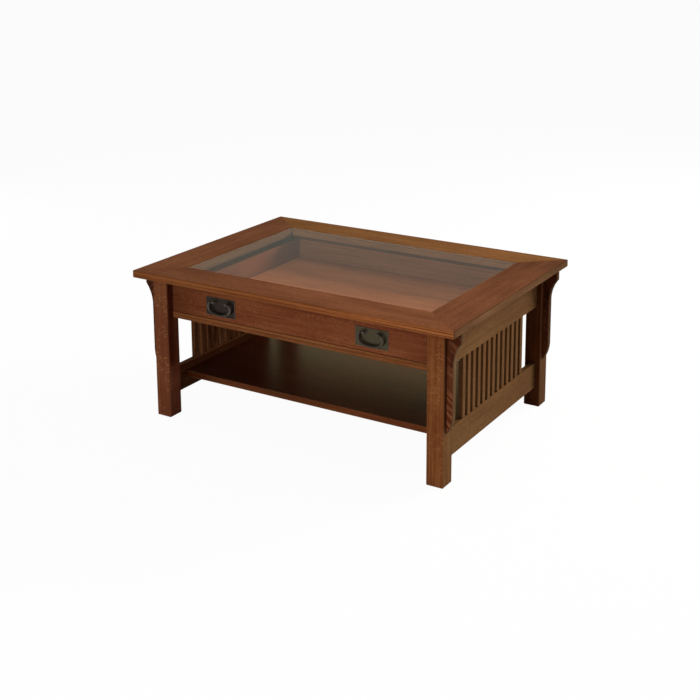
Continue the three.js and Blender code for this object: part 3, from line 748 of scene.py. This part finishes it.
def bronzeFinish(name, patina, wearAndHighlight=0.0, box=None, flanks=None):
    # box is the plate's outline, whose rim has lost most of its patina and carries a painted highlight, and
    # flanks are the X of a bail's middle, how far its two handled flanks are from there, and how far they are
    # rubbed bright, partly wear and partly a painted highlight
    look = bronzeLook
    material, nodes = newFinish(name)
    place = nodes.node("ShaderNodeTexCoord", out="Object")
    cloud = nodes.clouds(place, look["cloud"], detail=3.0, rough=0.6)
    specks = nodes.clouds(place, look["speck"], detail=2.0, rough=0.6, shift=look["speckShift"])
    green = nodes.ease(cloud, *look["greenOnset"])
    colour = nodes.mixed(green * look["greenShare"], stain(patina["brown"]), stain(patina["green"]))
    for spot in ("pale", "pit"):
        share = nodes.ease(specks, *look[spot + "Onset"]) * look[spot + "Share"]
        colour = nodes.mixed(share, colour, stain(look[spot]))
    if box:
        low, high = box
        x, z = nodes.part(place, "X"), nodes.part(place, "Z")
        inset = (x - low.x).least(high.x - x).least((z - low.z).least(high.z - z))
        wearAndHighlight = nodes.ease(inset, *look["rimOnset"]) * look["rimShare"]
    if flanks:
        middle, reach, share = flanks
        x = nodes.part(place, "X") - middle
        onset = [reach * part for part in look["flankOnset"]]
        wearAndHighlight = nodes.ease(x.most(-1 * x), *onset) * share + wearAndHighlight
    colour = nodes.mixed(wearAndHighlight, colour, stain(look["bare"]))
    dent = cloud * look["cloudHeight"] + specks * look["speckHeight"]
    bump = nodes.node("ShaderNodeBump", None,
                      {"Strength": look["bump"], "Distance": look["relief"], "Height": dent})
    rough = look["rough"] + (specks - noiseMiddle) * look["speckRough"] + green * look["greenRough"]
    nodes.surface(nodes.node("ShaderNodeBsdfPrincipled", None, {
        "Base Color": colour, "Metallic": look["metal"], "Roughness": rough, "Normal": bump,
        "Specular IOR Level": look["mirror"]}))
    return material


def spacedLines(length, form):
    # places across the plate: close together over its edge and rim, then even over the field
    edge = [*form["edgeLines"], *(form["rim"] + n for n in form["rimLines"])]
    inner = length - 2 * edge[-1]
    count = round(inner / form["cell"])
    middle = [edge[-1] + inner * i / count for i in range(1, count)]
    return edge + middle + [length - e for e in reversed(edge)]


def plateReach(inset, x, z, form):
    # how far the plate's face stands out from its back, at a place and its distance in from the outline
    full = form["thickness"]
    if inset < form["roundWidth"]:
        return full - form["roundDrop"] * (1 - inset / form["roundWidth"]) ** 2
    past = inset - form["rim"] + form["slopeBefore"]
    if past < 0:
        return full
    fall = min(1.0, past / form["slopeWidth"])
    fall = fall * fall * (3 - 2 * fall)
    pitch = form["dimplePitch"]
    hammer = noise.noise(Vector(form["dimplePlace"]) + Vector((x / pitch, z / pitch, 0)))
    return full - fall * (form["fieldDepth"] - form["dimple"] * (hammer - form["dimpleMiddle"]))


def addPlate(mesh, box, backY):
    form = plateForm
    low, high = box
    length, height = high.x - low.x, high.z - low.z
    middleX, middleZ = (low.x + high.x) / 2, (low.z + high.z) / 2
    across = [x - length / 2 for x in spacedLines(length, form)]
    upward = [z - height / 2 for z in spacedLines(height, form)]
    front = []
    for z in upward:
        row = []
        for x in across:
            inset = min(length / 2 - abs(x), height / 2 - abs(z))
            row.append(mesh.verts.new((middleX + x, backY - plateReach(inset, x, z, form), middleZ + z)))
        front.append(row)
    for below, above in zip(front, front[1:]):
        for c in range(len(across) - 1):
            mesh.faces.new((below[c], below[c + 1], above[c + 1], above[c]))
    rightEdge = [row[-1] for row in front[1:-1]]
    leftEdge = [row[0] for row in reversed(front[1:-1])]
    loop = front[0] + rightEdge + front[-1][::-1] + leftEdge
    back = [mesh.verts.new((v.co.x, backY, v.co.z)) for v in loop]
    for i in range(len(loop)):
        j = (i + 1) % len(loop)
        mesh.faces.new((loop[i], back[i], back[j], loop[j]))
    mesh.faces.new(back)


def hexagon(angle):
    # the reach of a six-sided outline, as a share of its corners' reach
    return math.cos(math.pi / 6) / math.cos((angle % (math.pi / 3)) - math.pi / 6)


def addNut(mesh, base):
    # a washer, a nut and the end of the stud, inwards from the drawer front's rear face
    form = nutForm
    nut, stud = form["nut"], form["stud"]
    end = form["seat"] + form["nutHigh"]
    wide, narrow = form["washer"], nut * form["chamferShare"]
    washer = [(wide, -form["washerGap"]), (wide, -form["washerHigh"]), (nut, -form["seat"])]
    turned(mesh, washer, base, form["washerSides"])
    shape = [(narrow, form["sunk"] - form["seat"]), (nut, -form["seat"] - form["chamfer"]),
             (nut, form["chamfer"] - end), (narrow, -end)]
    turned(mesh, shape, base, form["nutSides"], hexagon)
    thread = [(stud, form["studSunk"] - end)]
    for i in range(form["threads"]):
        crest = end + i * form["pitch"]
        thread += [(stud, -crest), (stud * form["rootShare"], -crest - form["pitch"] / 2)]
    thread.append((stud * form["tipShare"], -end - form["tail"]))
    turned(mesh, thread, base, form["studSides"])


def bailRadius(fromPin, swellLength):
    # thin at the pins, with a small collar where the bar leaves the post, and swelling towards the middle
    form = bailForm
    swell = math.sin(math.pi / 2 * min(1.0, max(0.0, fromPin / swellLength)))
    collar = math.exp(-((fromPin - form["collarPlace"]) / form["collarSpread"]) ** 2)
    return form["pin"] + (form["bar"] - form["pin"]) * swell + form["collarRise"] * collar


def addBail(mesh, centre):
    form = bailForm
    width, drop = form["bow"], form["drop"]
    half = [(form[name], 0.0) for name in ("pinEnd", "post", "shoulder")]
    half += [(a * width, -b * drop) for a, b in form["bowShares"]]
    corners = [Vector((x, 0, z)) for x, z in half] + [Vector((0, 0, -drop))]
    corners += [Vector((-x, 0, z)) for x, z in reversed(half)]
    path = smoothPath(corners, form["steps"])
    lengths = [0.0]
    for a, b in zip(path, path[1:]):
        lengths.append(lengths[-1] + (b - a).length)
    total = lengths[-1]
    pinLength = form["post"] - form["pinEnd"]
    swellLength = form["swellShare"] * (total / 2 - pinLength)
    rings = []
    for i, point in enumerate(path):
        way = (path[min(i + 1, len(path) - 1)] - path[max(i - 1, 0)]).normalized()
        across = Vector((0, 1, 0)).cross(way)
        radius = bailRadius(min(lengths[i], total - lengths[i]) - pinLength, swellLength)
        ring = []
        for k in range(form["sides"]):
            angle = 2 * math.pi * k / form["sides"]
            offset = across * (radius * math.cos(angle)) + Vector((0, radius * math.sin(angle), 0))
            ring.append(mesh.verts.new(centre + point + offset))
        rings.append(ring)
    skin(mesh, rings)


postBronze = bronzeFinish("post bronze", patinas["right bar"], rubShares["posts"])
frontLow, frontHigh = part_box("drawer_front")
backY = frontLow.y - plateForm["gap"]
outerY = backY - plateForm["thickness"]
postProfile = [(radius * mm, reach * mm) for radius, reach in postForm["profile"]]
for side in sideSign:
    plateLow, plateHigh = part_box(f"pull_plate_{side}")
    middleX = (plateLow.x + plateHigh.x) / 2
    postZ = (plateLow.z + plateHigh.z) / 2 + postForm["rise"]
    outline = plateLow, plateHigh
    plateBronze = bronzeFinish(f"{side} plate bronze", patinas[side], box=outline)
    plate, posts, nuts, bar = bmesh.new(), bmesh.new(), bmesh.new(), bmesh.new()
    addPlate(plate, outline, backY)
    makePiece(f"bronze_plate_{side}", plate, plateBronze, "drawer", [f"pull_plate_{side}"])
    for hand in (-1, 1):
        x = middleX + hand * postForm["apart"] / 2
        turned(posts, postProfile, (x, outerY + plateForm["fieldDepth"], postZ), postForm["sides"])
        addNut(nuts, (x, frontHigh.y, postZ))
    makePiece(f"bronze_posts_{side}", posts, postBronze, "drawer")
    makePiece(f"post_nuts_{side}", nuts, plateBronze, "drawer")
    addBail(bar, Vector((middleX, outerY - bailForm["pinReach"], postZ)))
    flanks = middleX, bailForm["bow"], flankWearAndHighlight[side]
    barPatina = patinas[f"{side} bar"]
    bailBronze = bronzeFinish(f"{side} bail bronze", barPatina, rubShares["bails"], flanks=flanks)
    makePiece(f"bronze_bail_{side}", bar, bailBronze, f"pull_{side}", [f"pull_bail_{side}"])


# Floor, light and camera

print("floor, light and camera")
whiteColour = (1.0, 1.0, 1.0)


def seenDirectly(nodes):
    # 1 for what the camera, a mirror-like surface or a clear one shows, 0 for light on the object
    path = nodes.node("ShaderNodeLightPath", out="Is Camera Ray")
    return (path + path.also("Is Glossy Ray") + path.also("Is Transmission Ray")).least(1.0)


groundLook = {
    "size": 240.0, "cells": 8, "below": 0.4 * mm,
    "colour": (0.75, 0.75, 0.75), "paper": (0.8, 0.8, 0.8), "white": 0.96,
}
floorFinish, nodes = newFinish("pale floor")
tone = nodes.mixed(seenDirectly(nodes), groundLook["colour"], groundLook["paper"])
lit = nodes.node("ShaderNodeBsdfDiffuse", None, {"Color": tone})
white = nodes.node("ShaderNodeEmission", None, {"Color": whiteColour, "Strength": 1.0})
share = seenDirectly(nodes) * groundLook["white"]
nodes.surface(nodes.node("ShaderNodeMixShader", None, {0: share, 1: lit, 2: white}))
mesh = bmesh.new()
bmesh.ops.create_grid(mesh, x_segments=groundLook["cells"], y_segments=groundLook["cells"],
                      size=groundLook["size"] / 2)
data = bpy.data.meshes.new("floor")
mesh.to_mesh(data)
mesh.free()
data.materials.append(floorFinish)
floor = bpy.data.objects.new("floor", data)
floor.location.z = -groundLook["below"]
scene.collection.objects.link(floor)

ambient = 0.12  # strength of the sky's light on the object, while what is seen of it is white
world = bpy.data.worlds.new("studio")
scene.world = world
world.use_nodes = True
nodes = Recipe(world.node_tree)
strength = ambient + seenDirectly(nodes) * (1.0 - ambient)
sky = nodes.node("ShaderNodeBackground", None, {"Color": whiteColour, "Strength": strength})
nodes.node("ShaderNodeOutputWorld", None, {"Surface": sky})

lamps = {  # only the one overhead is mirrored in the glass and the metal
    "key": {"place": (2.4, 3.2, 1.9), "aim": (0.2, 0, 0.3), "size": (1.8, 1.8), "watts": 280,
            "colour": (1.0, 0.98, 0.92), "mirrored": False},
    "overhead": {"place": (0.3, -0.5, 3.4), "aim": (0, 0, 0.3), "size": (2.8, 2.8), "watts": 36,
                 "colour": (1.0, 1.0, 1.0), "mirrored": True},
    "front": {"place": (0.4, -3.3, 1.4), "aim": (0, 0, 0.3), "size": (1.2, 1.8), "watts": 38,
              "colour": (1.0, 0.98, 0.94), "mirrored": False},
    "left fill": {"place": (-3.3, -0.2, 0.8), "aim": (0, 0, 0.3), "size": (3.0, 1.4), "watts": 42,
                  "colour": (1.0, 0.98, 0.95), "mirrored": False},
}
for name, look in lamps.items():
    data = bpy.data.lights.new(name, "AREA")
    data.shape = "RECTANGLE"
    data.size, data.size_y = look["size"]
    data.energy = look["watts"]
    data.color = look["colour"]
    lamp = bpy.data.objects.new(name, data)
    lamp.location = look["place"]
    away = Vector(look["place"]) - Vector(look["aim"])
    lamp.rotation_euler = away.to_track_quat("Z", "Y").to_euler()
    lamp.visible_glossy = look["mirrored"]
    scene.collection.objects.link(lamp)

cameraLook = {  # azimuth is counted from -Y towards +X
    "place": (1.86429, -3.01866, 1.4985), "azimuth": 30.537, "elevation": 11.713,
    "lens": 63.093, "sensor": 36.0, "shift": (-0.03925, -0.26429), "reach": 100.0,
}
data = bpy.data.cameras.new("camera")
data.lens = cameraLook["lens"]
data.sensor_width = cameraLook["sensor"]
data.shift_x, data.shift_y = cameraLook["shift"]
data.clip_end = cameraLook["reach"]
camera = bpy.data.objects.new("camera", data)
camera.location = cameraLook["place"]
camera.rotation_euler = (math.radians(90 - cameraLook["elevation"]), 0.0, math.radians(cameraLook["azimuth"]))
scene.collection.objects.link(camera)
scene.camera = camera
scene.view_settings.view_transform = "Standard"
